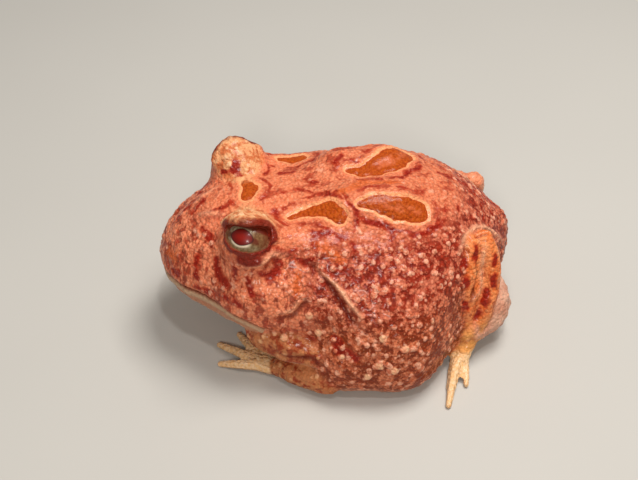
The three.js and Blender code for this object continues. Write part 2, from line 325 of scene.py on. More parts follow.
# The skin's colours on screen, 0 to 255
skinTones = {
    "ground": (196, 94, 62), "groundPale": (220, 120, 86), "groundBack": (228, 124, 82),
    "groundHead": (238, 134, 92), "groundLowShade": (196, 104, 60), "groundHigh": (210, 110, 82),
    "speckle": (246, 172, 134), "creviceShade": (124, 26, 8), "pebble": (246, 168, 132),
    "bead": (214, 112, 76), "beadPale": (244, 176, 144),
    "red": (160, 40, 14), "redDark": (112, 14, 2), "redBack": (178, 50, 22), "redLowShade": (108, 28, 6),
    "redBrown": (140, 74, 20), "mark": (160, 26, 6), "markDark": (118, 10, 0), "markEdge": (184, 56, 24),
    "ember": (228, 112, 56), "emberDark": (206, 88, 30),
    "patch": (186, 80, 14), "patchDark": (158, 56, 2), "patchGrit": (204, 104, 38),
    "patchHeart": (216, 112, 70), "patchEdge": (164, 58, 8),
    "cream": (248, 174, 120), "creamDark": (240, 150, 102),
    "lid": (230, 166, 116), "lidDark": (198, 106, 60), "lidBead": (244, 200, 154),
    "leg": (220, 106, 46), "legPale": (236, 140, 84), "legSpeckle": (240, 162, 104),
    "legMottle": (180, 70, 26), "legRight": (238, 156, 124), "legBead": (242, 176, 122),
    "legTip": (222, 156, 84), "legMark": (146, 26, 6), "legMarkEdge": (196, 70, 30),
    "haunch": (206, 142, 114), "haunchPale": (222, 170, 142),
    "arm": (194, 122, 74), "armDark": (150, 60, 26), "armBead": (240, 184, 130),
    "digit": (230, 178, 118), "digitPale": (240, 204, 162),
    "ridgePaleAndHighlight": (246, 182, 142), "creaseShade": (108, 22, 6), "wart": (236, 158, 120), "wartPale": (246, 190, 146),
    "lip": (170, 98, 66), "mouth": (206, 168, 134), "mouthDark": (176, 138, 108), "chin": (184, 120, 88),
    "belly": (214, 164, 134), "rim": (134, 28, 10), "rimDark": (98, 10, 2), "margin": (116, 78, 50),
}

# y and z of the closed mouth, from the snout to its corner
mouth = [
    (-30, 12.0), (-26, 12.0), (-23.5, 12.25), (-21, 12.4), (-18.7, 12.1), (-16.5, 11.5), (-14.8, 10.7),
    (-13.3, 9.8),
]

# Orange patches: x, y, z and radius in mm along each one. Here and below, each place was picked
# on the photograph and then found on the frog's surface.
patches = {
    "nearFront": [(5.7, -8.9, 21.7, 0.25), (5.2, -6.9, 22.0, 0.65), (5.2, -4.9, 22.3, 0.9),
        (5.8, -3.5, 22.9, 1.25), (7.5, -2.3, 22.4, 0.9)],
    "nearRear": [(6.4, 0.5, 23.6, 0.4), (6.5, 2.7, 23.6, 1.2), (7.2, 5.4, 23.0, 1.7),
        (7.3, 8.4, 22.1, 1.6)],
    "farRear": [(-1.1, 0.3, 23.6, 0.35), (-0.7, 2.2, 23.5, 0.95), (-1.2, 4.4, 23.7, 1.6),
        (-2.3, 6.4, 23.7, 2.1), (-4.3, 8.4, 23.0, 1.7)],
    "farFront": [(-7.8, -8.4, 21.7, 0.4), (-7.4, -7.0, 21.6, 0.85), (-7.8, -5.4, 21.6, 0.9)],
    "betweenEyes": [(-2.6, -14.0, 22.2, 0.55), (-0.6, -13.4, 22.5, 1.15), (1.1, -14.1, 22.4, 0.8)],
}

# Red marks that stand out, as x, y, z and radius along each one: first those that both sides carry
pairedMarks = {
    "muzzleTop": [(3.9, -20.4, 19.8, 0.3), (5.7, -19.6, 19.4, 0.6), (6.6, -19.3, 19.2, 0.4)],
    "snoutBar": [(6.5, -21.6, 17.3, 0.45), (8.0, -21.9, 14.9, 0.4)],
    "cheekBar": [(8.0, -19.0, 17.9, 0.5), (9.5, -19.0, 16.5, 0.6), (11.2, -18.2, 15.9, 0.45)],
    "eyeBarFront": [(11.5, -16.7, 18.6, 0.4), (11.3, -17.0, 17.1, 0.55)],
    "eyeBar": [(12.5, -15.1, 17.2, 0.55), (13.5, -15.0, 15.8, 0.5)],
    "lipFront": [(8.4, -22.1, 13.3, 0.3), (10.2, -20.2, 13.5, 0.4)],
    "lipRear": [(12.1, -18.5, 14.3, 0.35), (13.5, -16.8, 14.5, 0.5)],
    "snoutTip": [(6.0, -24.3, 14.1, 0.5), (4.6, -25.4, 13.2, 0.3)],
    "eyeHook": [(11.8, -12.1, 20.6, 0.35), (11.5, -11.1, 18.6, 0.6), (12.5, -12.2, 17.6, 0.5)],
    "eyeTail": [(12.4, -13.6, 18.4, 0.35), (12.2, -11.2, 17.8, 0.5)],
    "nape": [(4.2, -10.8, 21.9, 0.4), (5.9, -10.3, 21.8, 0.3), (6.4, -10.1, 21.9, 0.3)],
    "shankTop": [(10.9, 14.4, 15.5, 0.55), (11.1, 14.4, 14.7, 0.5)],
    "shankMiddle": [(12.1, 14.4, 13.3, 0.55), (12.2, 14.3, 12.3, 0.55)],
    "shankLow": [(13.4, 14.2, 9.9, 0.5), (13.8, 14.6, 9.2, 0.5)],
    "heelTop": [(9.9, 16.0, 17.0, 0.5), (10.8, 16.2, 15.7, 0.6)],
    "tarsusTop": [(10.3, 18.9, 15.3, 0.45), (10.5, 18.9, 14.4, 0.55)],
    "tarsusMiddle": [(11.6, 18.8, 12.7, 0.5), (11.8, 18.6, 11.7, 0.55)],
    "tarsusLow": [(12.2, 17.6, 10.6, 0.55), (12.7, 17.2, 9.2, 0.65)],
    "tarsusEnd": [(13.2, 16.5, 7.9, 0.5), (13.4, 16.3, 7.0, 0.45)],
    "flankLow": [(17.7, -4.5, 9.9, 0.6), (18.6, -4.0, 8.9, 0.8), (19.9, -1.9, 8.0, 0.5)],
    "armpit": [(14.3, -7.2, 8.3, 0.6), (15.4, -6.8, 8.6, 0.5)],
}
redMarks = {
    "snoutMiddle": [(0.2, -21.4, 19.9, 0.3), (-1.2, -19.9, 20.7, 0.45)],
    "snoutFar": [(-0.7, -24.2, 17.5, 0.35), (-1.6, -22.1, 19.3, 0.4)],
    "forehead": [(1.9, -20.2, 20.5, 0.15), (2.3, -17.8, 21.5, 0.3), (1.5, -16.1, 22.1, 0.2)],
    "farLidFork": [(-5.8, -14.8, 23.8, 0.35), (-4.7, -15.2, 22.6, 0.6), (-5.4, -16.8, 22.1, 0.45)],
    "farLidTail": [(-4.8, -15.5, 22.6, 0.4), (-3.9, -14.5, 22.1, 0.35)],
    "napeLine": [(1.2, -10.2, 22.5, 0.15), (0.8, -7.2, 22.1, 0.3), (2.2, -5.2, 22.7, 0.25),
        (3.5, -3.0, 23.4, 0.35), (5.4, -1.6, 23.8, 0.25)],
    "betweenPatches": [(6.4, -0.8, 23.6, 0.3), (7.3, 0.0, 23.0, 0.4), (8.4, -0.1, 21.8, 0.4)],
    "underRearPatch": [(8.1, 0.9, 22.1, 0.25), (8.6, 3.2, 21.6, 0.4), (9.3, 4.6, 21.0, 0.4),
        (10.7, 4.1, 20.1, 0.3)],
    "behindRearPatch": [(10.0, 6.6, 20.4, 0.3), (10.0, 8.3, 20.2, 0.45), (8.9, 10.5, 20.2, 0.4),
        (7.1, 12.4, 20.5, 0.25)],
    "rumpMiddle": [(-0.7, 12.6, 22.2, 0.3), (-0.5, 14.6, 21.2, 0.4), (-1.0, 17.0, 19.6, 0.3)],
    "besideFarPatch": [(1.5, 7.2, 23.6, 0.35), (-0.3, 8.9, 23.3, 0.4), (-1.4, 10.7, 22.8, 0.3)],
    "aboveRearPatch": [(5.2, 6.2, 24.2, 0.15), (4.2, 9.5, 22.8, 0.3)],
    "farBackFront": [(-2.9, -1.2, 24.0, 0.4), (-3.8, -0.3, 24.3, 0.45)],
    "farBackRear": [(-2.7, 0.7, 24.1, 0.3), (-2.4, 1.7, 24.0, 0.3)],
    "farNape": [(-3.7, -8.9, 22.1, 0.35), (-3.6, -7.1, 22.2, 0.4)],
    "backMiddle": [(-1.2, -5.7, 22.7, 0.25), (0.1, -4.2, 22.9, 0.4)],
    "rumpDot": [(5.0, 14.4, 20.4, 0.25), (5.7, 14.6, 19.9, 0.3)],
    "rumpDotFront": [(5.6, 12.7, 21.1, 0.25), (6.4, 12.3, 20.9, 0.3)],
    "rumpEnd": [(-1.6, 18.0, 18.8, 0.3), (-0.4, 21.9, 15.3, 0.35)],
    "shoulder": [(8.4, -6.2, 21.5, 0.4), (9.2, -5.4, 21.2, 0.65), (10.1, -5.9, 20.8, 0.65),
        (10.8, -5.7, 20.3, 0.4)],
    "shoulderRear": [(8.8, -4.8, 21.4, 0.4), (9.5, -4.0, 21.1, 0.5)],
    "shoulderDot": [(10.0, -3.0, 20.8, 0.4), (9.9, -2.0, 20.8, 0.35)],
    "shoulderLow": [(10.7, -1.2, 20.2, 0.4), (11.4, -1.0, 19.7, 0.45)],
    "behindEye": [(11.1, -11.2, 20.8, 0.2), (10.9, -9.7, 19.9, 0.3), (10.6, -8.5, 20.3, 0.25)],
    "aboveFold": [(11.5, -8.4, 19.1, 0.4), (11.8, -7.6, 18.8, 0.5), (11.7, -6.6, 19.1, 0.4)],
}

# Orange marks without a border
orangeMarks = {
    "cheek": [(12.8, -8.9, 17.5, 0.55), (14.1, -9.1, 16.0, 0.75)],
    "backFront": [(4.0, -1.6, 24.0, 0.4), (3.9, -0.4, 24.3, 0.7), (2.6, 1.8, 24.0, 0.8)],
    "backRear": [(2.8, 2.8, 24.1, 0.6), (3.1, 7.2, 23.8, 0.4)],
    "snout": [(2.7, -25.4, 15.2, 0.5), (4.4, -24.6, 15.9, 0.7)],
    "shoulder": [(9.9, -5.6, 20.4, 0.5), (11.2, -4.2, 19.9, 0.8), (12.3, -2.6, 18.9, 0.6)],
    "farLid": [(-6.6, -11.9, 23.2, 0.5), (-6.9, -11.2, 22.6, 0.6)],
}

# Folds on both sides of the frog: the height, then x, y, z and half-width along each one
folds = {
    "shoulderRidge": (0.6, [(12.9, -5.7, 17.9, 0.24), (14.3, -3.9, 16.7, 0.28), (15.1, -3.0, 15.8, 0.3),
        (16.3, -2.2, 14.8, 0.3), (17.7, -0.9, 13.5, 0.26)]),
    "shoulderValley": (-0.5, [(12.3, -6.5, 18.3, 0.4), (13.9, -4.6, 16.3, 0.4),
        (15.5, -3.3, 14.6, 0.42), (17.1, -2.2, 12.9, 0.4), (18.6, -0.6, 11.5, 0.3)]),
    "headHollow": (-0.4, [(11.5, -8.4, 19.1, 0.5), (12.3, -6.6, 18.4, 0.6), (12.6, -7.0, 16.6, 0.5)]),
    "jawValley": (-0.45, [(15.0, -12.8, 12.1, 0.45), (15.3, -10.0, 12.4, 0.5), (15.0, -8.0, 14.5, 0.5),
        (13.6, -7.4, 16.0, 0.45)]),
    "jawRidge": (0.22, [(15.2, -11.8, 13.4, 0.35), (15.3, -9.8, 13.6, 0.35), (14.4, -8.6, 15.2, 0.35)]),
    "eyeRidge": (0.32, [(12.7, -15.8, 19.6, 0.4), (12.6, -14.0, 20.0, 0.5), (11.7, -12.1, 20.9, 0.5),
        (10.9, -9.9, 19.9, 0.4)]),
    "muzzleRidge": (0.25, [(3.2, -17.7, 21.3, 0.4), (2.1, -19.4, 20.9, 0.4), (1.4, -20.9, 20.2, 0.35)]),
    "armValley": (-0.5, [(15.4, -13.0, 7.0, 0.45), (17.2, -10.0, 6.5, 0.5), (17.9, -7.5, 6.9, 0.5),
        (18.8, -6.0, 4.8, 0.4)]),
    "thighRidge": (0.45, [(10.2, 13.9, 17.0, 0.4), (8.6, 14.6, 17.9, 0.45), (7.0, 16.3, 17.6, 0.45),
        (5.7, 18.2, 16.7, 0.4), (5.3, 19.8, 15.3, 0.4), (4.7, 21.4, 13.1, 0.3)]),
    "thighValley": (-0.35, [(9.3, 15.3, 17.9, 0.3), (8.4, 16.7, 17.7, 0.3), (8.3, 17.9, 17.8, 0.3),
        (8.3, 19.3, 16.6, 0.3)]),
    "tarsusRidge": (0.55, [(9.6, 17.6, 16.6, 0.3), (10.0, 17.0, 15.0, 0.4), (10.6, 17.0, 13.0, 0.45),
        (11.3, 17.0, 10.9, 0.4), (12.8, 15.3, 10.0, 0.3)]),
    "shankValley": (-0.5, [(10.3, 15.9, 16.0, 0.35), (11.2, 15.8, 13.2, 0.45), (12.2, 15.4, 10.9, 0.4),
        (13.1, 14.7, 9.0, 0.3)]),
}

# Single pale warts on the shoulder and low flank, on both sides
singleWarts = [[(*place, 0)] for place in (
    (15.6, -7.7, 12.8), (16.3, -6.6, 10.2), (19.7, 1.6, 11.1), (21.2, 3.1, 6.3), (20.7, -0.4, 5.4),
    (20.8, 0.9, 7.2), (15.5, -11.0, 9.1), (20.4, 4.4, 9.5),
)]


def joinedFlesh():
    copies = []
    for name in fleshNodes + eyeNodes:
        source = frame["nodes"][name]
        part = bpy.data.objects.new(name + "Copy", source.data.copy())
        bpy.context.scene.collection.objects.link(part)
        part.data.materials.clear()
        pick(part)
        bpy.ops.object.mode_set(mode="EDIT")
        bpy.ops.mesh.select_all(action="SELECT")
        bpy.ops.mesh.remove_doubles(threshold=0.001 * mm)
        bpy.ops.object.mode_set(mode="OBJECT")
        applyModifier(part, "DISPLACE", strength=skinPiece["grow"] * mm, mid_level=0.0)
        copies.append(part)
    pick(*copies)
    bpy.ops.object.join()
    skin = bpy.context.object
    skin.name = skin.data.name = "skin"
    applyModifier(skin, "REMESH", mode="VOXEL", voxel_size=skinPiece["voxel"] * mm)
    dropInnerShells(skin)
    return skin


def dropInnerShells(skin):  # the cuts' inner walls, which the outer shell hides
    pick(skin)
    bpy.ops.object.mode_set(mode="EDIT")
    bpy.ops.mesh.select_all(action="DESELECT")
    bpy.ops.object.mode_set(mode="OBJECT")
    heights = corners(skin.data)[:, 2]
    skin.data.vertices[int(np.argmax(heights))].select = True
    bpy.ops.object.mode_set(mode="EDIT")
    bpy.ops.mesh.select_mode(type="VERT")
    bpy.ops.mesh.select_linked()
    bpy.ops.mesh.select_all(action="INVERT")
    bpy.ops.mesh.delete(type="VERT")
    bpy.ops.object.mode_set(mode="OBJECT")


def triangles(mesh):
    return sum(len(face.vertices) - 2 for face in mesh.polygons)


def nearestNode(places):
    points, faces, owner = [], [], []
    for number, name in enumerate(fleshNodes + eyeNodes):
        mesh = frame["nodes"][name].data
        first = len(points)
        points += [vertex.co / mm for vertex in mesh.vertices]
        faces += [tuple(first + v for v in face.vertices) for face in mesh.polygons]
        owner += [number] * len(mesh.polygons)
    tree = BVHTree.FromPolygons(points, faces)
    return np.array([owner[tree.find_nearest(Vector(place))[2]] for place in places])


def eyeAxes(side):  # the gaze, the way towards the tail, and the way up, across the eye
    forward, up = math.radians(skinPiece["eyeForward"]), math.radians(skinPiece["eyeUp"])
    level = math.cos(up)
    gaze = np.array((math.cos(forward) * level * side, -math.sin(forward) * level, math.sin(up)))
    rearward = np.cross((0, 0, 1), gaze) * side
    rearward /= np.linalg.norm(rearward)
    lift = np.cross(gaze, rearward) * side
    return gaze, rearward, lift


def shareOf(owner, edges, rounds, *parts):  # 1 on those parts, fading past their edges
    kinds = [name.rpartition("_")[0] for name in fleshNodes + eyeNodes]
    chosen = np.isin(owner, [n for n, kind in enumerate(kinds) if kind in parts])
    return spread(chosen.astype(float), edges, rounds)


def limbShares(owner, edges, y):  # shank and foot with the front of the thigh, its pale rear, and the arm
    haunch = smooth(y, 15.0, 17.0)
    thigh = shareOf(owner, edges, 9, "thigh")
    column = np.maximum(shareOf(owner, edges, 7, "shank"), shareOf(owner, edges, 7, "foot"))
    column = np.maximum(column, thigh * (1 - haunch))
    return column, thigh * haunch, shareOf(owner, edges, 10, "upper_arm", "forearm", "hand")


def markDistances(places):  # how far each point is from the nearest patch and mark
    wobble = np.stack([noiseAt(places, 1.3, seed) for seed in (3, 9, 14)], 1)
    patch = nearestPath(places + wobble * skinPiece["patchWander"], patches.values())
    shaken = places + wobble * skinPiece["markWander"]
    mirrored = shaken * (-1, 1, 1)
    paired = ontoSkin(places, pairedMarks.values())
    marks = nearestPath(shaken, ontoSkin(places, redMarks.values()) + paired)
    marks = np.minimum(marks, nearestPath(mirrored, paired))
    ember = nearestPath(shaken, orangeMarks.values())
    ember = np.minimum(ember, nearestPath(mirrored, [orangeMarks["cheek"]]))
    return patch, marks, ember


def aroundEyes(x, both, owner):
    eye = np.array(skinPiece["eye"])
    gaze, rearward, lift = eyeAxes(1)
    fromEye = both - eye
    overEye = fromEye @ lift
    away = np.linalg.norm(fromEye, axis=1)
    inEye = owner >= len(fleshNodes)
    ball = both[inEye & (x > 0)]
    rimAway = np.full(len(both), farOff)
    beside = np.flatnonzero((away < 7.5) & ~inEye)
    rimAway[beside] = [np.linalg.norm(ball - place, axis=1).min() for place in both[beside]]
    rimAway[inEye] = 0
    ledge = smooth(overEye, 0.4, 1.0)
    ahead = smooth(-(fromEye @ rearward), -0.6, 1.2)
    # rim: painted shade under the lid's ledge and around the eye's opening, and painted shade in the
    # hollow under the eye
    rim = 1 - smooth(rimAway - 0.14 * ahead * ledge, 0.7, 1.2)
    hollowShade = smooth(near(both, (12.4, -15.2, 20.8), (1.7, 3.0, 1.5)), 0.03, 0.6)
    return {
        "away": away, "inEye": inEye, "rimAway": rimAway, "ledge": ledge,
        "rim": np.maximum(rim, hollowShade * 0.9),
        "margin": (1 - smooth(rimAway, 0.3, 0.5)) * (1 - ledge),
        "lid": near(both, eye + (-1.6, -0.2, 3.2), (7.4, 5.9, 5.2)) * smooth(overEye, 0.3, 1.3),
    }


def addFolds(heights, places, both):  # adds to the heights; gives the painted shade for the valleys and, for the ridges, a pale colour that is partly the skin's own and partly a painted highlight
    valleys, ridges = np.zeros((2, len(places)))
    rises = [height for height, path in folds.values()]
    paths = ontoSkin(places, [path for height, path in folds.values()])
    for height, path in zip(rises, paths):
        distance, along = alongPath(both, [(*point[:3], 0) for point in path])
        width = np.interp(along, np.linspace(0, 1, len(path)), [point[3] for point in path])
        form = hump(distance, 0, width) * np.sin(np.clip(along, 0.06, 0.94) * math.pi) ** 0.5
        heights += height * form
        if height < 0:
            # the valleys of the folds get painted shade
            valleys = np.maximum(valleys, form * min(1.0, -height * 1.7))
        else:
            ridges = np.maximum(ridges, form * min(1.0, height * 2))
    return valleys, ridges


def makeSkin():
    skin = joinedFlesh()
    mesh = skin.data
    edges = edgesOf(mesh)
    places = corners(mesh) - normals(mesh) * skinPiece["grow"]
    owner = nearestNode(places)
    toes = shareOf(owner, edges, 7, "foot") * (1 - smooth(places[:, 2], 2.0, 3.4))
    thin = np.maximum(shareOf(owner, edges, 7, "hand"), toes)
    eased = spread(places, edges, skinPiece["easing"], (0.6, -0.62))
    lightly = spread(places, edges, skinPiece["digitEasing"], (0.5, -0.52))
    places = lightly * thin[:, None] + eased * (1 - thin[:, None])
    setCorners(mesh, places)
    print("skin joined:", len(places), "vertices")

    x, y, z = places.T
    both = np.column_stack((np.abs(x), y, z))  # both sides of the frog laid over each other
    out = normals(mesh)
    column, thigh, arm = limbShares(owner, edges, y)
    limb = np.clip(column + thigh + arm, 0, 1)
    head = (1 - smooth(y, -9.5, -6.0)) * (1 - limb)
    back = smooth(z, 18.8, 21.6) * (1 - limb)
    under = smooth(-out[:, 2], 0.25, 0.8)
    low = smooth(16.5 - z, 0, 7) * (1 - limb) * (1 - head) * (1 - under)
    patch, marks, ember = markDistances(places)
    around = aroundEyes(x, both, owner)
    rimAway, ledge, lid = around["rimAway"], around["ledge"], around["lid"]

    # the mouth: a groove with a soft lip above and below it
    gap = z - np.interp(y, *zip(*mouth))
    inMouth = smooth(-y, 12.8, 14.0) * (1 - limb) * (owner < len(trunkNodes))
    groove = hump(gap, 0, 0.25) * inMouth
    lip = (hump(gap, 0.7, 0.42) + 0.8 * hump(gap, -0.75, 0.4)) * inMouth
    nostril = near(both, skinPiece["nostril"], (1.3, 0.75, 0.75))
    nostrilRim = near(both, skinPiece["nostril"], (2.2, 1.4, 1.4)) - nostril

    # granules crowd the flanks, and are lower on the back, head and limbs
    clear = smooth(patch, 0.5, 1.2) * (1 - groove) * smooth(rimAway, 0.3, 0.9) * (1 - thin)
    patchy = 0.6 + 0.4 * smooth(noiseAt(places, 4.2, 21), -0.3, 0.3)
    crowd = clear * patchy * (1 - 0.5 * back) * (1 - 0.3 * head) * (1 - 0.45 * limb) * (1 - 0.8 * under)
    crowd = crowd * (1 - inMouth * (gap < 0.9))
    crowd = np.maximum(crowd, lid * 0.8 * clear)
    bead = beadsAt(places, skinPiece["granule"], 1.0, (0.36, 0.62))
    wart = beadsAt(places, skinPiece["wart"], 0.5, (0.16, 0.26), 7.0)
    wart = wart * np.clip(low + 0.5 * arm * (1 - thin), 0, 1) * clear
    spots = [path + [(*path[0][:2], path[0][2] + 0.1, 0)] for path in ontoSkin(places, singleWarts)]
    single = nearestPath(both, spots) / skinPiece["singleWart"]
    wart = np.maximum(wart, np.maximum(0, 1 - single ** 2))

    heights = skinPiece["granuleHeight"] * bead * crowd * (1 - wart) + skinPiece["wartHeight"] * wart
    heights += noiseAt(places, 2.4, 5, 3) * skinPiece["swell"] * (1 - thin) * smooth(patch, 0.2, 1.2)
    heights += noiseAt(places, 0.6, 11, 2) * skinPiece["ripple"] * (1 - under)
    border = skinPiece["patchBorder"] * hump(patch, 0.5, 0.28)
    heights += -skinPiece["patchGroove"] * hump(patch, 0, 0.28) + border
    heights += (
        -skinPiece["mouthDepth"] * groove + skinPiece["lipRise"] * lip
        - skinPiece["nostrilDepth"] * nostril + skinPiece["lipRise"] * nostrilRim
    )
    valleys, ridges = addFolds(heights, places, both)
    heights += ledge * skinPiece["ledgeRise"] * hump(rimAway, 0.9, 0.5)
    heights += (1 - ledge) * (0.1 * hump(rimAway, 0.35, 0.2) - 0.15 * hump(rimAway, 0.95, 0.3))
    places = places + out * heights[:, None]

    # where an eye shows, the skin dips behind it
    leftEye = np.array(skinPiece["eye"])
    ownEye = np.where(x[:, None] < 0, leftEye * (-1, 1, 1), leftEye)
    inward = (skinPiece["eyeRadius"] - skinPiece["eyeDepth"]) / np.maximum(around["away"], 1e-6)
    dipped = (places - ownEye) * inward[:, None] + ownEye
    places = np.where(around["inEye"][:, None], dipped, places)
    places[:, 2] = np.maximum(places[:, 2], 0.0)
    setCorners(mesh, places)
    print("skin grained")

    attributes = {
        "patch": patch, "marks": marks, "ember": ember, "gap": np.where(inMouth > 0.5, gap, farOff),
        "bead": bead * crowd, "wart": wart, "column": column, "thigh": thigh, "arm": arm, "thin": thin,
        # shade: painted shade in the mouth groove and the valleys of the folds
        "lid": lid, "rim": around["rim"], "margin": around["margin"], "shade": np.maximum(groove, valleys),
        "pale": ridges, "under": under, "back": back, "head": head, "low": low,
        "right": smooth(-x, 0.0, 1.0), "tip": smooth(7.5 - z, 0.0, 3.0),
    }
    for name, values in attributes.items():
        setAttribute(mesh, name, values)
    applyModifier(skin, "DECIMATE", ratio=skinPiece["triangles"] / triangles(mesh))
    pick(skin)
    bpy.ops.object.shade_smooth()
    return skin


def skinFinish():
    finish = Finish("wartySkin")
    mix, noiseOf = finish.mix, finish.noise
    tone = {name: paint(*colour) for name, colour in skinTones.items()}
    shares = "bead wart column thigh arm thin lid rim margin shade pale under back head low right tip"
    at = {name: finish.attribute(name) for name in shares.split()}
    back = at["back"]
    patch, marks, ember, gap = (finish.attribute(name) for name in ("patch", "marks", "ember", "gap"))

    bent = finish.bent(0.6, 1.3)
    streaked = finish.vector("MULTIPLY", bent, (1.0, 0.5, 1.0))
    upright = finish.vector("MULTIPLY", bent, (1.0, 1.3, 0.45))
    fine = noiseOf(2.6, 3.0, 0.65)
    grit = noiseOf(6.0, 2.0, 0.6)
    deep = noiseOf(1.2, 3.0, 0.6, bent)
    pebble = finish.cells(2.2)
    grain = at["bead"].step(0.15, 0.5)

    # salmon pink ground, darkened low on the flanks as painted shade
    ground = mix(noiseOf(0.22, 3.0, 0.6).step(0.35, 0.65), tone["ground"], tone["groundPale"])
    ground = mix(back * 0.75, ground, tone["groundBack"])
    ground = mix(at["head"] * (1 - back) * 0.8, ground, tone["groundHead"])
    # painted shade: the ground darker low on the flanks, which face down
    ground = mix(at["low"] * 0.6, ground, tone["groundLowShade"])
    ground = mix(fine.step(0.42, 0.75) * 0.5, ground, tone["speckle"])
    higher = (1 - at["low"]) * (1 - back) * (1 - at["head"])
    ground = mix(higher * 0.5, ground, tone["groundHigh"])

    # red mottling: blotches on the flanks, streaks on the back, upright stripes on the head
    blotches = (noiseOf(0.8, 3.0, 0.62, bent) + higher * 0.012).step(0.44, 0.55)
    streaks = noiseOf(0.62, 2.0, 0.55, streaked).step(0.52, 0.63)
    stripes = noiseOf(0.7, 2.0, 0.55, upright).step(0.48, 0.58)
    faint = noiseOf(1.6, 2.0, 0.6, bent).step(0.5, 0.66) * 0.4
    broken = noiseOf(0.55, 1.0).step(0.42, 0.52)
    red = mix(back, blotches, streaks * 0.8)
    red = mix(at["head"] * (1 - back), red, stripes * 0.85)
    red = red.most(faint)
    red = red.most(patch.step(1.1, 1.35) * patch.step(2.0, 1.65) * broken)
    red = red * patch.step(0.7, 1.1)
    redTone = mix(deep.step(0.38, 0.62), tone["red"], tone["redDark"])
    redTone = mix(back * 0.5, redTone, tone["redBack"])
    # painted shade: the red mottling darker low on the flanks
    redTone = mix(at["low"] * 0.6, redTone, tone["redLowShade"])
    redTone = mix(at["low"] * patch.step(5.0, 8.0) * 0.3, redTone, tone["redBrown"])
    body = mix(red * (0.8 + fine * 0.25), ground, redTone)

    # the placed marks, then pebbles and granules over them, with painted shade in the valleys between the
    # pebbles
    offPatch = patch.step(0.3, 0.6)
    body = mix(marks.step(0.3, 0.0) * offPatch * 0.6, body, tone["markEdge"])
    body = mix(marks.step(0.12, -0.2) * offPatch * 0.9, body, mix(deep, tone["mark"], tone["markDark"]))
    body = mix(ember.step(0.5, -0.4) * 0.8, body, mix(fine, tone["ember"], tone["emberDark"]))
    # painted shade: dark red in the valleys between the pebbles, less of it on the back and head
    body = mix(pebble.step(0.3, 0.62) * (0.36 - back * 0.18 - at["head"] * 0.14), body, tone["creviceShade"])
    body = mix(pebble.step(0.26, 0.08) * 0.3, body, tone["pebble"])
    body = mix(grain * 0.75, body, mix(deep.step(0.42, 0.6), tone["beadPale"], tone["bead"]))

    # orange patches inside a thin cream border
    orange = mix(fine.step(0.35, 0.65), tone["patch"], tone["patchDark"])
    orange = mix(grit.step(0.5, 0.7) * 0.4, orange, tone["patchGrit"])
    heart = patch.step(-0.85, -1.5) * noiseOf(0.9, 2.0).step(0.35, 0.6)
    orange = mix(heart * 0.65, orange, tone["patchHeart"])
    orange = mix(patch.step(-0.35, -0.05) * 0.6, orange, tone["patchEdge"])
    cream = mix(fine.step(0.3, 0.7), tone["cream"], tone["creamDark"])
    body = mix(patch.step(0.6, 0.2) * patch.step(-0.08, 0.05) * 0.9, body, cream)
    body = mix(patch.step(0.08, -0.08), body, orange)

    # lids are cream
    lidTone = mix(noiseOf(0.8, 3.0, 0.6, bent).step(0.45, 0.62), tone["lid"], tone["lidDark"])
    lidTone = mix(grain * 0.8, lidTone, tone["lidBead"])
    body = mix(at["lid"].step(0.12, 0.45) * (1 - marks.step(0.14, -0.12)) * 0.9, body, lidTone)

    # the orange hind legs carry red spots, and the right one is paler
    leg = mix(noiseOf(0.45, 2.0).step(0.35, 0.65), tone["leg"], tone["legPale"])
    leg = mix(fine.step(0.45, 0.7) * 0.5, leg, tone["legSpeckle"])
    leg = mix(noiseOf(0.9, 2.0, 0.6, bent).step(0.54, 0.66) * 0.7, leg, tone["legMottle"])
    leg = mix(at["right"] * 0.55, leg, tone["legRight"])
    leg = mix(grain * 0.6, leg, tone["legBead"])
    leg = mix(at["tip"] * 0.8, leg, tone["legTip"])
    leg = mix(marks.step(0.35, 0.0) * 0.5, leg, tone["legMarkEdge"])
    leg = mix(marks.step(0.15, -0.2) * 0.95, leg, tone["legMark"])
    body = mix(at["column"], body, leg)
    haunch = mix(noiseOf(0.5, 2.0).step(0.35, 0.65), tone["haunch"], tone["haunchPale"])
    body = mix(at["thigh"] * 0.9, body, haunch)
    armTone = mix(noiseOf(0.7, 3.0, 0.6, bent).step(0.44, 0.6), tone["arm"], tone["armDark"])
    armTone = mix(grain * 0.75, armTone, tone["armBead"])
    body = mix(at["arm"] * 0.85, body, armTone)
    digit = mix(fine.step(0.3, 0.7), tone["digit"], tone["digitPale"])
    body = mix(at["thin"].step(0.3, 0.9) * 0.9, body, digit)
    # the fold ridges: partly the skin's own pale colour, partly a painted highlight
    body = mix(at["pale"] * 0.85, body, tone["ridgePaleAndHighlight"])
    wartTone = mix(deep.step(0.4, 0.6), tone["wartPale"], tone["wart"])
    body = mix(at["wart"].step(0.1, 0.6) * 0.8, body, wartTone)

    # lips, chin and belly, then painted shade in the mouth groove, the valleys of the folds, the eyes'
    # dark rims and the hollows under them
    body = mix(gap.step(0.9, 0.2) * 0.75, body, tone["lip"])
    body = mix(gap.step(-0.05, -0.45), body, mix(fine, tone["mouth"], tone["mouthDark"]))
    body = mix(gap.step(-0.8, -1.7), body, tone["chin"])
    body = mix(at["under"] * 0.75, body, tone["belly"])
    body = mix(at["shade"].step(0.1, 0.85) * 0.85, body, tone["creaseShade"])
    # painted shade: the dark rims around the eyes and the hollows under them
    body = mix(at["rim"].step(0.0, 0.8) * 0.95, body, mix(fine, tone["rim"], tone["rimDark"]))
    body = mix(at["margin"] * 0.85, body, tone["margin"])

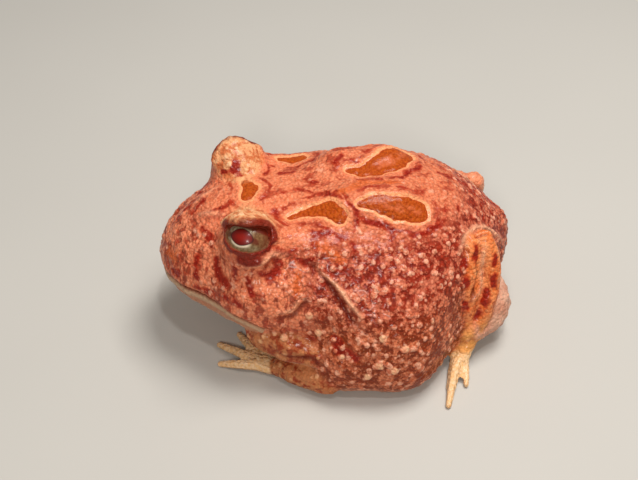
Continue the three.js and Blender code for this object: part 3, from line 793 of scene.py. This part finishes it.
    pits = finish.bump(1 - pebble * pebble * 1.6, 0.2, 0.7)
    relief = finish.bump(noiseOf(4.5, 3.0, 0.6), 0.1, 0.5, pits)
    rough = 0.42 + noiseOf(1.5, 2.0) * 0.2
    return finish.surface(
        Base_Color=body, Roughness=rough, Normal=relief, IOR=1.33, Specular_IOR_Level=0.15,
        Coat_Weight=0.28, Coat_Roughness=0.2,
        Subsurface_Weight=0.06, Subsurface_Radius=(1.0, 0.35, 0.2), Subsurface_Scale=0.5 * mm,
    )


# The eyes, each a ball with a bulging cornea
eyePiece = {
    "radius": 3.22,
    "corneaReach": 2.5,
    "corneaRise": 0.15,
    "pupil": (1.5, 1.03),  # half its width and half its height
    "roundness": 1.7,  # 2 makes the pupil an ellipse, 1 a diamond
}
eyeTones = {
    "upper": (180, 164, 134), "upperDark": (134, 108, 80), "rear": (136, 98, 60), "rearDark": (98, 60, 32),
    "lower": (150, 132, 98), "lowerDark": (118, 94, 62), "bar": (96, 30, 14), "crescent": (226, 206, 178),
    "outer": (110, 54, 32), "ring": (70, 16, 6), "pupil": (108, 10, 2), "pupilHeart": (134, 18, 4),
    "behind": (90, 30, 20), "lidShade": (100, 22, 8),
}


def makeEye(sideName, side):
    centre = np.array(skinPiece["eye"]) * (side, 1, 1)
    deselectAll()
    bpy.ops.mesh.primitive_uv_sphere_add(segments=72, ring_count=48, radius=eyePiece["radius"] * mm)
    eye = bpy.context.object
    eye.name = eye.data.name = "eye" + sideName.title()
    gaze, rearward, lift = eyeAxes(side)
    local = corners(eye.data)
    away = np.hypot(local[:, 0], local[:, 1])
    rise = np.where(local[:, 2] > 0, np.maximum(0, 1 - (away / eyePiece["corneaReach"]) ** 2), 0) ** 1.5
    local = local * (1 + eyePiece["corneaRise"] * rise / eyePiece["radius"])[:, None]
    basis = np.stack([rearward, lift, gaze])  # the ball's poles lie along the gaze
    setCorners(eye.data, local @ basis + centre)
    if np.linalg.det(basis) < 0:
        eye.data.flip_normals()
    for name, values in zip(("rearward", "lift", "front"), local.T):
        setAttribute(eye.data, name, values)
    pick(eye)
    bpy.ops.object.shade_smooth()
    return eye


def eyeFinish():
    finish = Finish("wetEye")
    rearward = finish.attribute("rearward")
    lift = finish.attribute("lift")
    front = finish.attribute("front")
    mix = finish.mix
    wide, tall = eyePiece["pupil"]
    power = eyePiece["roundness"]
    tone = {name: paint(*colour) for name, colour in eyeTones.items()}
    oval = (abs(rearward / wide) ** power + abs(lift / tall) ** power) ** (1 / power)
    flecks = finish.noise(2.4, 3.0, 0.7).step(0.35, 0.65)
    upper = mix(flecks, tone["upper"], tone["upperDark"])
    rear = mix(flecks, tone["rear"], tone["rearDark"])
    lower = mix(flecks, tone["lower"], tone["lowerDark"])
    iris = mix(rearward.step(0.6, 1.6), upper, rear)
    iris = mix(lift.step(-0.3, -1.0), iris, lower)
    bar = abs(lift + 0.05).step(0.55, 0.15) * abs(rearward).step(1.0, 1.4) * abs(rearward).step(2.6, 1.9)
    iris = mix(bar * 0.85, iris, tone["bar"])
    crescent = oval.step(1.45, 1.2) * lift.step(-0.25, -0.7) * abs(rearward).step(1.6, 1.0)
    iris = mix(crescent, iris, tone["crescent"])
    outer = (rearward * rearward + lift * lift) ** 0.5
    iris = mix(outer.step(2.2, 2.9) * 0.8, iris, tone["outer"])
    iris = mix(oval.step(1.16, 1.04), iris, tone["ring"])
    pupil = mix(oval.step(1.0, 0.2), tone["pupil"], tone["pupilHeart"])
    iris = mix(oval.step(1.02, 0.94), iris, pupil)
    iris = mix(front.step(0.6, 0.0), iris, tone["behind"])
    iris = mix(lift.step(1.05, 1.35) * 0.9, iris, tone["lidShade"])
    return finish.surface(Base_Color=iris, Roughness=0.4, Coat_Weight=0.25, Coat_Roughness=0.12, IOR=1.33)


# Floor, light and camera
studio = {
    "azimuth": 81.5,
    "elevation": 40.0,
    "distance": 170.0,
    "target": (0.0, -4.0, 12.5),
    "focalPixels": 1190.0,
    "imageWidth": 638,
    "sensor": 36,
    "floor": 600.0,
    "floorTones": ((194, 190, 183), (188, 184, 177)),
    "sky": (1.0, 0.97, 0.92, 1),
    "skyStrength": 0.22,
}

# place, aim, size, power and colour of each light
lights = {
    "key": ((-20, 70, 280), (0, 0, 8), 120, 0.7, (1.0, 0.98, 0.95)),
    "window": ((260, -60, 200), (0, 0, 10), 44, 0.34, (1.0, 0.97, 0.92)),
    "glint": ((110, 0, 300), (0, 0, 10), 18, 0.16, (1.0, 1.0, 1.0)),
}


def floorFinish():
    finish = Finish("paleFloor")
    tone = finish.mix(finish.noise(0.02), *[paint(*colour) for colour in studio["floorTones"]])
    return finish.surface(Base_Color=tone, Roughness=0.9)


def areaLight(name, place, aim, size, power, colour):
    data = bpy.data.lights.new(name, "AREA")
    data.shape = "SQUARE"
    data.size = size * mm
    data.energy = power
    data.color = colour
    light = bpy.data.objects.new(name, data)
    light.location = Vector(place) * mm
    light.rotation_euler = (Vector(aim) - Vector(place)).to_track_quat("-Z", "Y").to_euler()
    bpy.context.scene.collection.objects.link(light)


def makeStudio():
    deselectAll()
    bpy.ops.mesh.primitive_plane_add(size=studio["floor"] * mm)
    floor = bpy.context.object
    floor.name = "floor"
    floor.data.materials.append(floorFinish())
    for name, values in lights.items():
        areaLight(name, *values)
    world = bpy.data.worlds.new("studio")
    world.use_nodes = True
    sky = world.node_tree.nodes["Background"]
    sky.inputs["Color"].default_value = studio["sky"]
    sky.inputs["Strength"].default_value = studio["skyStrength"]
    bpy.context.scene.world = world
    bpy.context.scene.view_settings.view_transform = "Standard"

    azimuth, elevation = math.radians(studio["azimuth"]), math.radians(studio["elevation"])
    level = math.cos(elevation)
    back = Vector((math.sin(azimuth) * level, -math.cos(azimuth) * level, math.sin(elevation)))
    data = bpy.data.cameras.new("camera")
    data.sensor_width = studio["sensor"]
    data.lens = studio["sensor"] * studio["focalPixels"] / studio["imageWidth"]
    data.clip_start = 0.01
    camera = bpy.data.objects.new("camera", data)
    camera.location = (Vector(studio["target"]) + back * studio["distance"]) * mm
    camera.rotation_euler = (-back).to_track_quat("-Z", "Y").to_euler()
    bpy.context.scene.collection.objects.link(camera)
    bpy.context.scene.camera = camera


makeStudio()
print("studio ready")
skin = makeSkin()
skin.data.materials.append(skinFinish())
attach(skin, "root")
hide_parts(*fleshNodes)
print("skin ready:", triangles(skin.data), "triangles")
wetEye = eyeFinish()
for sideName, side in sides.items():
    eye = makeEye(sideName, side)
    eye.data.materials.append(wetEye)
    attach(eye, "root")
    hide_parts("eye_" + sideName)
print("eyes ready")
